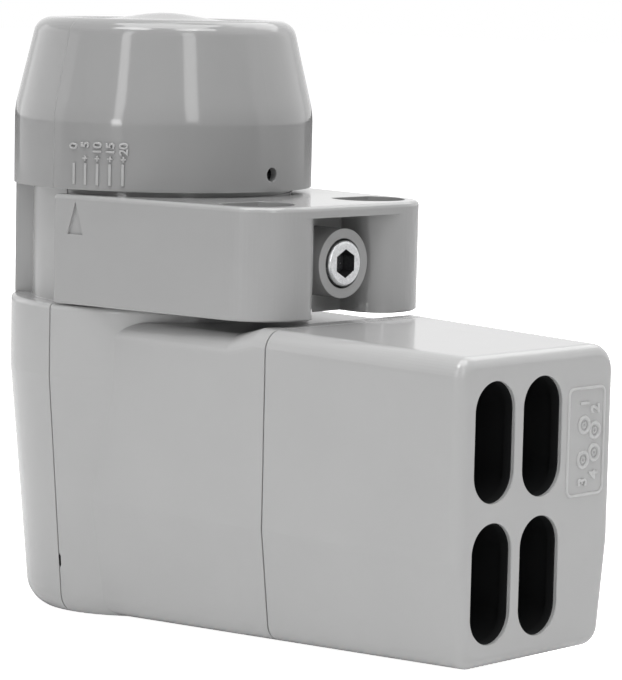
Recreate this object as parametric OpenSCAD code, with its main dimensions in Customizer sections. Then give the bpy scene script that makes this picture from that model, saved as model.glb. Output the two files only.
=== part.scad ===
// Satellite dish feed head: low-noise block converter for four outputs, with a skew clamp and a sliding port cover.
// +Z runs up the feed axis, +X points to the cable ports, and the origin is where the axis meets the underside.

/* [Post and neck] */
// Radius of the round post
post_r = 31.4; // [30.8:0.1:32]
// Radius of the post at the underside, before its rounded edge
post_base_r = 27; // [26:0.1:28]
// Height at which the post starts to taper down
post_taper_z = 49.5; // [44:0.5:54]
// Height of the shoulder under the clamp
shoulder_z = 64.2; // [63:0.1:66]
// Radius of the rounded edge round the underside
foot_round = 5.5; // [3:0.5:6]
// How far the neck that the clamp turns on is set in from the post
neck_inset = 4.4; // [3.4:0.1:5.4]
// Wall of the neck
neck_wall = 2; // [1.6:0.1:2.4]
// Half angle of the gap in front of the stop collar
collar_half_gap = 138; // [130:1:145]
// Rise of the underside towards the ports, in degrees
base_tilt = 2.15; // [1.5:0.05:2.6]
// Distance from the axis to the joint between the two housing halves
parting_x = 0.7; // [0.4:0.1:1]

/* [Box] */
// Wall of the moulded housing
wall = 2.4; // [2:0.1:2.8]
// How far the box is set in from the post on each side, where it leaves the post
box_inset = 4.1; // [3.2:0.1:4.4]
// Distance from the axis at which that half width is taken
box_start_x = 15; // [13:0.5:17]
// Half width of the box at the port end
box_end_half = 22.6; // [22:0.1:23.4]
// Height of the top of the box at the axis
box_top_z = 64.4; // [64:0.1:64.6]
// Fall of the top towards the ports, in degrees
box_top_fall = 1.05; // [0.5:0.05:1.4]
// Height of the line below which the sides draw in
kink_z = 24.5; // [22:0.5:27]
// Draft of the sides below that line, in degrees
lower_draft = 6.8; // [5:0.1:8]
// Radius of the near long edges of the box
near_round = 4; // [3:0.5:5]
// Radius of the far upper long edge of the box
far_round = 5.5; // [3:0.5:6]
// Radius of the far lower long edge of the box
far_low_round = 4; // [3:0.5:6]
// Depth of the recess in the box under the clamp
recess_depth = 2.4; // [2:0.1:3]
// Distance from the axis to the ramp that ends the recess
ramp_x = 46; // [44:0.5:48]
// Length of that ramp
ramp_length = 6.5; // [5:0.5:8]

/* [Port cover] */
// Distance from the axis to the seam between housing and cover
seam_x = 55.9; // [54:0.1:58]
// Distance from the axis to the end face
end_x = 104; // [100:0.5:108]
// Width of the seam lines
seam_gap = 0.3; // [0.2:0.05:0.4]
// Wall of the cover
cover_wall = 2; // [1.6:0.1:2.4]
// Wall of the cover's end face
end_wall = 1.2; // [1:0.1:1.6]
// Radius of the edge round the end face
end_round = 2.3; // [1.5:0.1:3]
// Width of a cable slot
slot_w = 11.3; // [10.4:0.1:11.6]
// Height of a cable slot
slot_h = 23; // [20:0.5:24]
// Distance between the slots, across
slot_pitch_y = 13.7; // [13:0.1:14.4]
// Distance between the slots, up
slot_pitch_z = 26.6; // [25.5:0.1:27.5]
// Middle of the slot group, across
slot_mid_y = -5.9; // [-8:0.1:0]
// Middle of the slot group, up
slot_mid_z = 33; // [31:0.5:34]
// Depth of the black liner behind the end face
liner_depth = 12; // [10:0.5:13]
// Clearance between the cover's guide ribs and the spigot
guide_clear = 0.3; // [0.25:0.05:0.4]

/* [Spigot and ports] */
// Half width of the spigot that the cover slides on
spigot_half = 21.5; // [21.2:0.1:21.7]
// Height of the underside of the spigot
spigot_low_z = 7.6; // [7:0.1:9]
// Height of the top of the spigot
spigot_top_z = 58.4; // [57:0.1:59]
// Distance from the axis to the spigot's end
spigot_x = 80.4; // [78:0.2:82]
// Wall of the spigot
spigot_wall = 2; // [1.6:0.1:2.4]
// Outer radius of the port thread
port_r = 4.7; // [4.5:0.05:4.8]
// Thread that stands out of the port nut
port_reach = 7; // [6:0.5:7]
// Thickness of a port nut
nut_t = 2.6; // [2:0.1:3]
// Width of a port nut across its flats
nut_flats = 11; // [10.8:0.1:11.6]
// Bore of a port
port_bore_r = 3.2; // [3:0.1:3.4]
// Width of the relief groove where the thread leaves the nut
port_relief = 0.5; // [0.3:0.1:1]

/* [Clamp] */
// Gap under the clamp and between clamp and neck
clamp_clear = 0.3; // [0.25:0.05:0.4]
// Height of the clamp
clamp_h = 22.2; // [20:0.2:22.6]
// Distance from the axis plane to the ends of the arms
arm_end_x = 1.2; // [0.6:0.1:3]
// Distance from the axis to the front of the clamp
clamp_front_x = 55.2; // [54:0.2:56]
// Half width of the clamp at its front corners
front_half = 24.6; // [24.2:0.1:26]
// Outer radius of the front lobes
lobe_out_r = 11.5; // [10:0.5:12]
// Inner radius of the front lobes
lobe_in_r = 6.5; // [5:0.5:7]
// Half width of the screw pocket
pocket_half = 7.6; // [7.4:0.1:8]
// Distance from the axis to the back of the screw pocket
pocket_back_x = 44.5; // [43:0.5:46]
// Thickness of the plate over the pocket
top_plate = 2.3; // [1.8:0.1:2.6]
// Radius of the clamp's upper edge
clamp_round = 0.9; // [0.5:0.1:1.2]
// Radius of the clamp's lower edge
clamp_low_round = 0.3; // [0.2:0.05:0.5]
// Radius of an arm socket
socket_r = 7.5; // [7:0.1:7.8]
// Distance from the axis to the middle of the arm sockets
socket_x = 43.9; // [43:0.1:44.5]
// Distance between the middles of the arm sockets
socket_pitch = 32; // [31.4:0.2:32.6]
// Distance from a socket's middle to its flat
socket_flat = 5.2; // [4.5:0.1:6]
// Depth of the arm sockets
socket_depth = 19; // [16:0.5:19.5]
// Height of the pointer's recess
pointer_h = 6.6; // [5:0.2:7.5]
// Width of the pointer's recess
pointer_w = 4; // [3:0.2:5]
// Depth of the pointer's recess
pointer_deep = 0.5; // [0.3:0.1:0.6]
// Distance from the axis plane to the pointer
pointer_x = 7; // [6:0.5:8]

/* [Clamp screw] */
// Outer radius of the screw boss
boss_r = 6.95; // [6.8:0.05:7.1]
// Distance from the boss's face back to the clamp's front
boss_back = 2.8; // [2:0.1:3.4]
// Height of the screw above the clamp's underside
screw_up = 10.4; // [9:0.2:12]
// Radius of the screw's shank
screw_r = 2.95; // [2.9:0.01:2.97]
// Radius of the screw's head
head_r = 4.6; // [4.4:0.05:4.8]
// Height of the screw's head
head_h = 6; // [5:0.1:6.2]
// How far the head stands out of the boss
head_proud = 0.7; // [0.3:0.1:1]
// Width of the hexagon socket across its flats
hex_flats = 5; // [4:0.5:5]
// Clearance round the screw's head
head_clear = 0.4; // [0.3:0.05:0.5]
// Thickness of the washer
washer_t = 1.2; // [1:0.1:1.6]
// Thickness of the nut inside the neck
slider_t = 3; // [2.5:0.1:3.2]
// Half angle of the nut inside the neck
slider_half_angle = 11; // [9:0.5:13]
// Height of the nut inside the neck
slider_h = 12; // [10:0.5:14]
// Radial clearance between screw and thread
thread_clear = 0.05; // [0.02:0.01:0.08]
// Turn of the skew scale, in degrees
skew_range = 20; // [15:5:20]

/* [Feed cap] */
// How far the cap's skirt is set in from the post
cap_inset = 0.35; // [0.2:0.05:0.8]
// Height of the cap's rim above its lower edge
cap_h = 34.3; // [33:0.1:35.5]
// Gap between clamp and cap
cap_gap = 1; // [0.6:0.1:1.4]
// Height at which the cap's skirt starts to lean in
cap_lean_z = 15.4; // [14:0.2:17]
// How far the skirt leans in up to the rim
cap_lean = 4.45; // [3.95:0.1:4.95]
// Radius of the cap's rounded rim
cap_round = 4; // [3:0.2:4.5]
// Wall of the cap
cap_wall = 1.6; // [1.4:0.1:2]
// Radius of the dome in the cap's top
dome_r = 13.6; // [12:0.2:15]
// Rise of the dome above the rim
dome_rise = 1.2; // [0.8:0.1:1.6]
// Depth of the groove round the dome
dome_groove = 1.4; // [1:0.1:1.8]
// Radius of the vent in the skirt
vent_r = 1.45; // [1.2:0.05:1.6]
// Height of the vent above the cap's lower edge
vent_up = 3.5; // [3:0.1:5]
// Angle of the vent, from +X towards +Y
vent_angle = 1.9; // [0:0.1:4]
// Angle of the scale's first line, from -Y towards +X
scale_start = 11.76; // [9:0.02:13]
// Angle between the scale's lines
scale_step = 5; // [5:1:5]
// Number of the scale's lines
scale_lines = 5; // [3:1:5]
// Width of a scale line
scale_w = 0.6; // [0.4:0.05:0.8]
// Height of a scale line
scale_h = 4.5; // [3.5:0.1:5]
// How far a scale line stands out
scale_proud = 0.25; // [0.15:0.05:0.3]

/* [Feed horn and chassis] */
// Radius of the round waveguide
guide_r = 8.75; // [8.5:0.05:9]
// Wall of the waveguide
guide_wall = 2.6; // [2:0.1:3]
// Height of the joint between horn and chassis
horn_joint_z = 59.5; // [58:0.5:60.5]
// Number of choke rings
choke_count = 3; // [2:1:3]
// Depth of the choke rings
choke_depth = 14; // [10:0.5:16]
// Gap between the outer choke ring and the cap
horn_side_gap = 0.8; // [0.5:0.1:1.2]
// Gap between the horn's mouth and the cap
horn_top_gap = 1; // [0.6:0.1:1.6]
// Wall of a choke ring
choke_wall = 1.2; // [1:0.1:1.6]
// Half width of the chassis
chassis_half = 15.6; // [15:0.1:16]
// Height of the chassis's underside
chassis_low_z = 10.5; // [10:0.5:12]
// Height of the chassis's top
chassis_top_z = 54; // [52:0.5:55]
// Distance from the axis to the chassis's port end
chassis_x = 71; // [69:0.5:72]
// Wall round the chassis's pocket
chassis_wall = 4; // [3.4:0.1:4.5]
// Thickness of the chassis lid
lid_t = 1.6; // [1.2:0.1:2]
// Radius of the lid screws
lid_screw_r = 1.2; // [1:0.05:1.3]
// Thickness of the circuit board
board_t = 1.6; // [1.2:0.1:1.8]
// Thickness of the septum in the waveguide
septum_t = 1.5; // [1:0.1:2]

/* [Hidden] */
$fn = 96;
eps = 0.01;
big = 400;                                  // larger than the part
lap = 0.5;                                  // how far joined solids run into each other
hull_fn = 10;                               // steps in one rounded corner
edge_step = 9;                              // step of the end face's rounded edge, in degrees
touch = 0.05;                               // running clearance of small pieces
least_round = 0.6;                          // smallest radius of an inner edge

neck_r = post_r - neck_inset;
neck_in_r = neck_r - neck_wall;
shoulder_round = 1;
floor_t = wall + 1;                         // floor of the post
floor_bevel = 2.4;                          // bevel where that floor meets the wall
roof_z = shoulder_z - wall;
arm_half = post_r;                          // the clamp's arms end flush with the post
cap_r = post_r - cap_inset;
cap_rim_r = cap_r - cap_lean;

base_slope = tan(base_tilt);
box_start_half = post_r - box_inset;
box_taper = (box_start_half - box_end_half) / (end_x - box_start_x);
recess_z = box_top_z - box_start_x * tan(box_top_fall) - recess_depth;

clamp_z = shoulder_z + clamp_clear;
clamp_top_z = clamp_z + clamp_h;
socket_floor_z = clamp_top_z - socket_depth;
arm_corner = 0.6;
bore_r = neck_r + clamp_clear;
cap_z = clamp_top_z + cap_gap;
collar_clear = 0.2;

neck_top_z = cap_z + clamp_clear;
ring_t = 3.4;                               // cap ring
ring_lip = 1;                               // how far that ring stands in over the neck's bore
seal_t = 1.4;                               // seal in the cap ring
seal_up = 1;

screw_z = clamp_z + screw_up;
boss_face_x = clamp_front_x - boss_back;
head_x = boss_face_x + head_proud;
head_low_x = head_x - head_h;
seat_x = head_low_x - washer_t;
screw_hole_r = screw_r + head_clear;
slider_out_r = neck_in_r - clamp_clear;
hex_depth = 3.2;

port_seal_t = 1;
port_flange_r = 5.1;
port_flange_x = spigot_x - spigot_wall - port_seal_t;
port_stub_r = 1.1;                          // pin that carries the port's signal into the chassis
port_stub = 2.8;
port_pin_r = 0.7;
port_socket_r = 0.35;
nut_x = spigot_x + nut_t;
port_tip_x = nut_x + port_reach;
relief_deep = 0.4;
spigot_round = 3;
liner_x = end_x - end_wall - seam_gap;
liner_play = 0.4;                           // between liner and the cover's walls
liner_slot_play = 0.6;                      // how much wider the liner's slots are than the cover's

tube_r = guide_r + guide_wall;              // outside of the round waveguide
horn_gasket_t = 0.5;
chassis_joint_z = horn_joint_z - horn_gasket_t;
horn_flange_r = 19;
horn_flange_t = 3;
horn_step = 2;                              // step from one choke ring to the next
horn_mouth_z = cap_h - cap_wall - dome_groove - horn_top_gap;
horn_rim_r = cap_r - cap_wall - horn_side_gap
    - cap_lean * (horn_mouth_z - cap_lean_z) / (cap_h - cap_lean_z);
short_z = 18;                               // floor of the waveguide
chassis_back = 14;                          // chassis behind the axis
pocket_x = 16;
pocket_y = -3;                              // floor of the chassis's pocket
pocket_end_x = chassis_x - chassis_wall;
pocket_low_z = chassis_low_z + chassis_wall;
pocket_top_z = chassis_top_z - chassis_wall;
lid_rim = 0.8;                              // chassis wall left round the lid
lid_lap = chassis_wall - lid_rim;
lid_play = 0.1;
lid_head_r = 1.8;
lid_head_t = 1.2;
lid_screw_l = 5;
board_gap = 0.5;
board_x = pocket_x + 2.5;
board_end_x = pocket_end_x - board_gap;
board_y = pocket_y - board_t;
can_w = 12;
can_t = 0.6;
can_h = 5;
puck_r = 2.6;
puck_h = 2.2;
probe_r = 0.6;
probe_clear = 0.2;
probe_y = 1.5 * pocket_y;
septum_low_z = 24;
septum_h = 28;
septum_steps = 4;

slot_places = [for (j = [1, -1]) for (i = [-1, 1])
    [slot_mid_y + i * slot_pitch_y / 2, slot_mid_z + j * slot_pitch_z / 2]];

function half_width(x) = box_start_half - box_taper * (x - box_start_x);
function box_top(x) = box_top_z - x * tan(box_top_fall);
function box_low(x) = x * base_slope;
function unit(v) = v / norm(v);
function flat(p) = [p[0], p[1]];

// Points of an arc of radius r that rounds the corner at b, between its neighbours a and c.
function corner(a, b, c, r, n) =
    let (u = unit(a - b), w = unit(c - b), half = acos(u * w) / 2, m = b + unit(u + w) * r / sin(half))
    let (p = b + u * r / tan(half) - m, q = b + w * r / tan(half) - m, a0 = atan2(p[1], p[0]))
    let (turn = ((atan2(q[1], q[0]) - a0 + 540) % 360) - 180)
    [for (i = [0 : n]) m + r * [cos(a0 + turn * i / n), sin(a0 + turn * i / n)]];

// Outline from corners [x, y, radius]; a radius of 0 leaves the corner sharp.
function rounded(pts, n = hull_fn) =
    let (k = len(pts))
    [for (i = [0 : k - 1]) let (b = pts[i])
        each (b[2] > 0 ? corner(flat(pts[(i + k - 1) % k]), flat(b), flat(pts[(i + 1) % k]), b[2], n) : [flat(b)])];

// Cross-section of the box at x, drawn d inside its outer face and cut off at the height top.
function section(x, d, top) =
    let (h = half_width(x) - d, t = min(box_top(x), top) - d, l = box_low(x) + d)
    let (b = h - (kink_z - l) * tan(lower_draft))
    let (far = max(far_round - d, least_round), far_low = max(far_low_round - d, least_round))
    let (near = max(near_round - d, least_round))
    [[h, t, far], [h, kink_z, 0], [b, l, far_low], [-b, l, near], [-h, kink_z, 0], [-h, t, near]];

// Stands a YZ outline up at x and gives it a length along X.
module along_x(x, length) {
    translate([x, 0, 0]) rotate([90, 0, 90]) linear_extrude(length) children();
}

module slice(x, d, top = big) {
    along_x(x, eps) polygon(rounded(section(x, d, top)));
}

module box_form(x0, x1, d, top = big) {
    hull() {
        slice(x0, d, top);
        slice(x1 - eps, d, top);
    }
}

// Box form with the rounded edge round its end face.
module cover_form(x0) {
    hull() {
        slice(x0, 0);
        for (a = [0 : edge_step : 90]) slice(end_x - end_round * (1 - sin(a)) - eps, end_round * (1 - cos(a)));
    }
}

module spigot_form(x0, x1, d) {
    low_half = spigot_half - (kink_z - spigot_low_z) * tan(lower_draft);
    r = spigot_round - d;
    h = spigot_half - d;
    along_x(x0, x1 - x0) polygon(rounded([[h, spigot_top_z - d, r], [h, kink_z, 0],
        [low_half - d, spigot_low_z + d, r], [d - low_half, spigot_low_z + d, r],
        [-h, kink_z, 0], [-h, spigot_top_z - d, r]]));
}

// Everything below the sloping underside.
module below_base() {
    rotate([0, -base_tilt, 0]) translate([-big / 2, -big / 2, -big]) cube(big);
}

module stadium(w, h) {
    for (s = [-1, 1]) translate([0, s * (h - w) / 2]) circle(d = w);
    square([w, h - w], center = true);
}

module ring(r_in, r_out, z, h) {
    rotate_extrude() translate([r_in, z]) square([r_out - r_in, h]);
}

module rod_x(r, x0, x1, y = 0, z = 0) {
    translate([x0, y, z]) rotate([0, 90, 0]) cylinder(r = r, h = x1 - x0);
}

// Post and neck, both halves in one.
module post_form() {
    drop = 1;
    rotate_extrude() polygon(rounded([[0, -drop, 0], [post_base_r, -drop, foot_round], [post_r, post_taper_z, 0],
        [post_r, shoulder_z, shoulder_round], [neck_r, shoulder_z, 0], [neck_r, neck_top_z, 0], [0, neck_top_z, 0]]));
}

// Half outline of the hollow inside the post, from floor to roof.
post_inside = [[post_base_r - wall - floor_bevel, floor_t], [post_base_r - wall, floor_t + floor_bevel],
    [post_r - wall, post_taper_z], [post_r - wall, roof_z]];

function mirrored(pts) = [for (i = [len(pts) - 1 : -1 : 0]) [-pts[i][0], pts[i][1]]];

module post_hollow() {
    rotate_extrude() {
        polygon(concat([[0, floor_t]], post_inside, [[0, roof_z]]));
        translate([0, floor_t]) square([neck_in_r, neck_top_z + 1 - floor_t]);
    }
}

// Half-space on one side of the plane x, for cutting.
module beyond(x, side) {
    translate([side > 0 ? x : x - big, -big / 2, -big / 2]) cube(big);
}

// Arc slot in the neck that the clamp's screw travels along.
module skew_slot() {
    overrun = asin(screw_hole_r / neck_in_r);
    rotate([0, 0, -overrun]) translate([0, 0, screw_z - screw_hole_r]) rotate_extrude(angle = skew_range + 2 * overrun)
        translate([neck_in_r - lap, 0]) square([neck_wall + 2 * lap, 2 * screw_hole_r]);
}

// Box up to the seam, with the recess under the clamp and the ramp at its end.
module box_shell() {
    box_form(parting_x - lap, ramp_x + eps, 0, recess_z);
    hull() {
        slice(ramp_x, 0, recess_z);
        slice(ramp_x + ramp_length, 0);
    }
    box_form(ramp_x + ramp_length, seam_x, 0);
}

module main_housing() {
    color("darkgray") difference() {
        union() {
            post_form();
            box_shell();
            spigot_form(seam_x - wall / 2, spigot_x, 0);
        }
        post_hollow();
        box_form(0, seam_x - wall, wall, recess_z);
        spigot_form(seam_x - wall - lap, spigot_x - spigot_wall, spigot_wall);
        for (p = slot_places) rod_x(port_r + 0.1, spigot_x - spigot_wall - lap, spigot_x + lap, p[0], p[1]);
        skew_slot();
        beyond(parting_x, -1);
        below_base();
    }
}

module rear_shell() {
    color("darkgray") difference() {
        post_form();
        post_hollow();
        beyond(parting_x - seam_gap, 1);
        below_base();
    }
}

module stop_collar() {
    color("darkgray") rotate([0, 0, collar_half_gap]) rotate_extrude(angle = 2 * (180 - collar_half_gap))
        translate([neck_r, shoulder_z]) square([cap_r - collar_clear - neck_r, cap_z - shoulder_z]);
}

// Thin gasket in the joint between the two housing halves.
module housing_gasket() {
    inset = 0.8;
    low_z = 1;
    edge = [[post_base_r - inset, low_z, foot_round - inset], [post_r - inset, post_taper_z, 0],
        [post_r - inset, shoulder_z - inset, 0]];
    mirror_edge = [for (i = [2 : -1 : 0]) [-edge[i][0], edge[i][1], edge[i][2]]];
    color("black") along_x(parting_x - seam_gap, seam_gap) difference() {
        polygon(rounded(concat(edge, mirror_edge)));
        polygon(concat(post_inside, mirrored(post_inside)));
        translate([-neck_in_r, roof_z - 1]) square([2 * neck_in_r, wall + 2]);
    }
}

module cap_ring() {
    color("dimgray") difference() {
        ring(neck_in_r - ring_lip, cap_r - cap_wall - touch, neck_top_z, ring_t);
        ring(cap_r - cap_wall - seal_t, cap_r, neck_top_z + seal_up, seal_t);
    }
}

module cap_seal() {
    color("black") ring(cap_r - cap_wall - seal_t, cap_r - cap_wall - touch, neck_top_z + seal_up, seal_t);
}

// Profile of the cap's top between the dome's middle and the rim, at radius r.
function cap_top(r) = r < dome_r
    ? cap_h - dome_groove * 0.15 + (dome_rise + dome_groove * 0.15) * (1 + cos(180 * r / dome_r)) / 2
    : cap_h - dome_groove * 0.15 - dome_groove * 0.85 * (1 - cos(360 * (r - dome_r) / (groove_out_r - dome_r))) / 2
        + dome_groove * 0.15 * (r - dome_r) / (groove_out_r - dome_r);
groove_out_r = cap_rim_r - cap_round - 0.6;

module cap_profile(d) {
    // The blend between upright and leaning skirt, and the rounded rim, are arcs.
    skirt = rounded([[0, -eps * d, 0], [cap_r - d, -eps * d, 0], [cap_r - d, cap_lean_z, 20],
        [cap_rim_r - d, cap_h - d, cap_round - d * 0.6], [groove_out_r, cap_h - d, 0]]);
    steps = 20;
    polygon(concat([for (p = skirt) if (p[0] > 0 || p[1] < 1) p],
        [for (i = [steps : -1 : 0]) let (r = groove_out_r * i / steps) [r, cap_top(r) - d]]));
}

module feed_cap() {
    color("darkgray") {
        difference() {
            translate([0, 0, cap_z]) rotate_extrude() difference() {
                cap_profile(0);
                cap_profile(cap_wall);
            }
            rotate([0, 0, vent_angle]) rod_x(vent_r, cap_r - cap_wall - 2, cap_r + 1, z = cap_z + vent_up);
        }
        for (i = [0 : scale_lines - 1]) rotate([0, 0, scale_start + i * scale_step - 90])
            translate([cap_r - lap, -scale_w / 2, cap_z + 1]) cube([lap + scale_proud, scale_w, scale_h]);
    }
}

module feed_horn() {
    low_z = horn_mouth_z - choke_depth;
    pitch = (horn_rim_r - tube_r) / choke_count;
    color("silver") rotate_extrude() difference() {
        union() {
            translate([guide_r, horn_joint_z]) square([guide_wall, cap_z + horn_mouth_z - horn_step / 2 - horn_joint_z]);
            translate([guide_r, horn_joint_z]) square([horn_flange_r - guide_r, horn_flange_t]);
            translate([guide_r, cap_z + low_z]) square([horn_rim_r - guide_r, choke_wall]);
            for (i = [1 : choke_count]) translate([tube_r + i * pitch - choke_wall, cap_z + low_z])
                square([choke_wall, choke_depth - (choke_count - i) * horn_step]);
        }
        translate([0, cap_z + horn_mouth_z - 1.5 * horn_step]) square([guide_r + guide_wall / 2, choke_depth]);
    }
}

module horn_gasket() {
    color("black") ring(guide_r + 1, horn_flange_r - 2, chassis_joint_z, horn_gasket_t);
}

lid_screw_places = [for (i = [0 : 2]) for (z = [chassis_low_z, chassis_top_z])
    [pocket_x - lid_lap / 2 + i * (pocket_end_x - pocket_x + lid_lap) / 2,
        z + (z < short_z ? 1 : -1) * (lid_rim + lid_lap / 2)]];
probe_places = [for (i = [1, 2]) short_z + i * (chassis_top_z - short_z) / 3];
part_places = [for (i = [1, 2]) for (j = [1, 2]) [board_x + (board_end_x - board_x) * (i == 1 ? 0.28 : 0.62),
    pocket_low_z + (pocket_top_z - pocket_low_z) * (j == 1 ? 0.32 : 0.72)]];

// Block from the pocket's edge outwards by d, for the pocket and the lid that is let in over it.
module pocket_block(d, deep) {
    translate([pocket_x - d, 0, pocket_low_z - d])
        cube([pocket_end_x - pocket_x + 2 * d, deep, pocket_top_z - pocket_low_z + 2 * d]);
}

module chassis_block() {
    flange_t = 2;
    color("silver") difference() {
        union() {
            translate([-chassis_back, -chassis_half, chassis_low_z])
                cube([chassis_x + chassis_back, 2 * chassis_half, chassis_top_z - chassis_low_z]);
            translate([0, 0, chassis_top_z - lap]) cylinder(r = tube_r, h = chassis_joint_z - chassis_top_z + lap);
            translate([0, 0, chassis_joint_z - flange_t]) cylinder(r = horn_flange_r - 1, h = flange_t);
        }
        translate([0, 0, short_z]) cylinder(r = guide_r, h = horn_joint_z - short_z);
        translate([0, -chassis_half - 1, 0]) pocket_block(0, chassis_half + 1 + pocket_y);
        translate([0, -chassis_half - 1, 0]) pocket_block(lid_lap, 1 + lid_t);
        for (z = probe_places) rod_x(probe_r + probe_clear, guide_r / 2, pocket_x + 1, probe_y, z);
        for (p = lid_screw_places) translate([p[0], -chassis_half - 1, p[1]]) rotate([-90, 0, 0])
            cylinder(r = lid_screw_r + touch, h = lid_screw_l + 2);
        for (p = slot_places) rod_x(port_stub_r + touch, chassis_x - port_stub - touch, chassis_x + 1, p[0], p[1]);
    }
}

module septum_plate() {
    half = guide_r - touch - septum_t / 20;
    step_y = 3;
    step_z = 5;
    color("silver") translate([-septum_t / 2, -half, septum_low_z]) difference() {
        cube([septum_t, 2 * half, septum_h]);
        for (i = [0 : septum_steps - 1]) translate([-1, step_y * (i + 1), septum_h - step_z * (septum_steps - i)])
            cube([septum_t + 2, 2 * guide_r, step_z + 1]);
    }
}

module probe_pins() {
    color("gold") for (z = probe_places) rod_x(probe_r, guide_r - 3, board_x - board_gap, probe_y, z);
}

module main_board() {
    color("darkgreen") translate([board_x, board_y, pocket_low_z + board_gap])
        cube([board_end_x - board_x, board_t, pocket_top_z - pocket_low_z - 2 * board_gap]);
}

module resonator_pucks() {
    color("tan") for (p = part_places) translate([p[0], board_y, p[1]]) rotate([90, 0, 0])
        cylinder(r = puck_r, h = puck_h);
}

module shield_cans() {
    inner = can_w - 2 * can_t;
    color("silver") for (p = part_places) translate([p[0], board_y - can_h, p[1]]) rotate([-90, 0, 0]) difference() {
        translate([-can_w / 2, -can_w / 2, 0]) cube([can_w, can_w, can_h]);
        translate([-inner / 2, -inner / 2, can_t]) cube([inner, inner, can_h]);
    }
}

module chassis_lid() {
    color("silver") difference() {
        translate([0, -chassis_half, 0]) pocket_block(lid_lap - lid_play, lid_t);
        for (p = lid_screw_places) translate([p[0], -chassis_half - 1, p[1]]) rotate([-90, 0, 0])
            cylinder(r = lid_screw_r + lid_play, h = lid_t + 2);
    }
}

module lid_screws() {
    color("silver") for (p = lid_screw_places) translate([p[0], -chassis_half, p[1]]) rotate([-90, 0, 0]) {
        translate([0, 0, -lid_head_t]) cylinder(r = lid_head_r, h = lid_head_t);
        cylinder(r = lid_screw_r, h = lid_screw_l);
    }
}

// Threads are plain cylinders; a relief groove parts what is under the nut from what takes the plug.
module f_port_shells() {
    color("silver") for (p = slot_places) difference() {
        union() {
            rod_x(port_stub_r, chassis_x - port_stub, chassis_x + 1, p[0], p[1]);
            rod_x(port_flange_r, chassis_x, port_flange_x, p[0], p[1]);
            rod_x(port_r, port_flange_x - lap, nut_x, p[0], p[1]);
            rod_x(port_r - relief_deep, nut_x - lap, nut_x + port_relief + lap, p[0], p[1]);
            rod_x(port_r, nut_x + port_relief, port_tip_x, p[0], p[1]);
        }
        rod_x(port_bore_r, port_flange_x - 2, port_tip_x + 1, p[0], p[1]);
    }
}

module f_port_insulators() {
    mouth = 1.2;
    color("white") for (p = slot_places) difference() {
        rod_x(port_bore_r, port_flange_x - 2, port_tip_x - mouth, p[0], p[1]);
        rod_x(port_pin_r, port_flange_x - 3, port_tip_x, p[0], p[1]);
    }
}

module f_port_contacts() {
    mouth = 1.6;
    color("gold") for (p = slot_places) difference() {
        rod_x(port_pin_r, port_flange_x - 2, port_tip_x - mouth, p[0], p[1]);
        rod_x(port_socket_r, port_tip_x - 6, port_tip_x, p[0], p[1]);
    }
}

module port_seals() {
    color("black") for (p = slot_places) difference() {
        rod_x(port_flange_r, port_flange_x, port_flange_x + port_seal_t, p[0], p[1]);
        rod_x(port_r, port_flange_x - 1, port_flange_x + port_seal_t + 1, p[0], p[1]);
    }
}

module port_nuts() {
    color("silver") for (p = slot_places) difference() {
        translate([spigot_x, p[0], p[1]]) rotate([0, 90, 0])
            cylinder(r = nut_flats / 2 / cos(30), h = nut_t, $fn = 6);
        rod_x(port_r, spigot_x - 1, spigot_x + nut_t + 1, p[0], p[1]);
    }
}

// Ribs inside the cover that run on the spigot with guide_clear between them.
module guide_ribs(x0, x1) {
    rib = 1.6;
    reach = 12;
    apart = 9;
    side = spigot_half + guide_clear;
    for (s = [-1, 1]) {
        for (z = [kink_z + apart / 2, spigot_top_z - apart])
            translate([x0, s > 0 ? side : -side - reach, z]) cube([x1 - x0, reach, rib]);
        for (z = [spigot_top_z + guide_clear, spigot_low_z - guide_clear - reach])
            translate([x0, s * apart - rib / 2, z]) cube([x1 - x0, rib, reach]);
    }
}

module weather_cover() {
    x0 = seam_x + seam_gap;
    color("darkgray") difference() {
        cover_form(x0);
        difference() {
            box_form(x0 - 1, end_x - end_wall, cover_wall);
            guide_ribs(x0 + 2, port_tip_x);
        }
        for (p = slot_places) along_x(end_x - end_wall - 1, end_wall + 2)
            translate([p[0], p[1]]) stadium(slot_w, slot_h);
        below_base();
    }
}

module cable_liner() {
    color("black") difference() {
        box_form(liner_x - liner_depth, liner_x, cover_wall + liner_play);
        for (p = slot_places) along_x(liner_x - liner_depth - 1, liner_depth + 2)
            translate([p[0], p[1]]) stadium(slot_w + liner_slot_play, slot_h + liner_slot_play);
    }
}

// Plan of the clamp, d inside its outer edge.
module clamp_plan(d) {
    polygon(rounded([[arm_end_x + d, arm_half - d, arm_corner], [clamp_front_x - d, front_half - d, lobe_out_r - d],
        [clamp_front_x - d, d - front_half, lobe_out_r - d], [arm_end_x + d, d - arm_half, arm_corner]], 16));
}

// Solid outer form of the clamp, with a rounded upper edge and a small chamfer below.
module clamp_blank() {
    hull() {
        translate([0, 0, clamp_z]) linear_extrude(clamp_h / 2) clamp_plan(clamp_low_round);
        for (a = [0 : 30 : 90]) {
            rise = clamp_round * (1 - cos(a));
            translate([0, 0, clamp_z + clamp_low_round])
                linear_extrude(clamp_h - clamp_low_round - rise) clamp_plan(clamp_round * (1 - sin(a)));
        }
    }
}

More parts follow.
